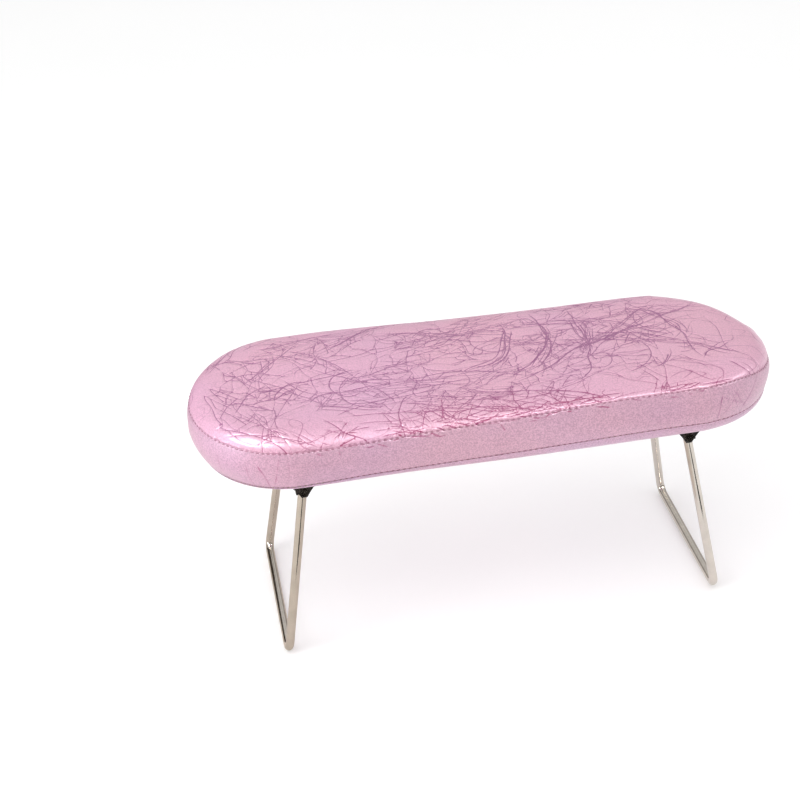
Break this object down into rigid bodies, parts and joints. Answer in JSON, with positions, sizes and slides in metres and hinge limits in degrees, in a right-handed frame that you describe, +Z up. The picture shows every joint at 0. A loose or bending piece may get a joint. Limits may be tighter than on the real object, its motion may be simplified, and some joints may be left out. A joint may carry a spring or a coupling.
{
  "type": "manicure arm rest",
  "caption": "Padded stadium-shaped arm rest for nail care, on a pair of bent wire legs that fold flat under the cushion.",
  "frame": {"origin": "centre of the footprint on the table top, midway between the two legs", "axes": "+X along the cushion, +Y across it away from the user who faces its long side, +Z up"},
  "size_m": [0.4, 0.136, 0.1777],
  "materials": {
    "pink_leather": "satin",
    "foam": "matte",
    "thread": "satin",
    "plywood": "matte",
    "liner": "matte",
    "zinc_steel": "satin",
    "chrome": "polished"
  },
  "bodies": {
    "cushion": {"top_cover": "pink_leather", "side_band": "pink_leather", "rim_cover": "pink_leather", "foam_core": "foam", "top_seam_thread": "thread", "low_seam_thread": "thread", "base_board": "plywood", "underside_liner": "liner", "cover_staples": "zinc_steel", "left_hinge_plate": "chrome", "right_hinge_plate": "chrome", "left_hinge_screws": "zinc_steel", "right_hinge_screws": "zinc_steel"},
    "left_leg": {"left_leg_wire": "chrome"},
    "right_leg": {"right_leg_wire": "chrome"}
  },
  "joints": [
    {"name": "left_leg_fold", "type": "hinge", "parent": "cushion", "child": "left_leg", "pos_m": [-0.131, 0, 0.12619], "axis": [0, -1, 0], "range_deg": [0, 100.8]},
    {"name": "right_leg_fold", "type": "hinge", "parent": "cushion", "child": "right_leg", "pos_m": [0.131, 0, 0.12619], "axis": [0, 1, 0], "range_deg": [0, 100.8]}
  ]
}
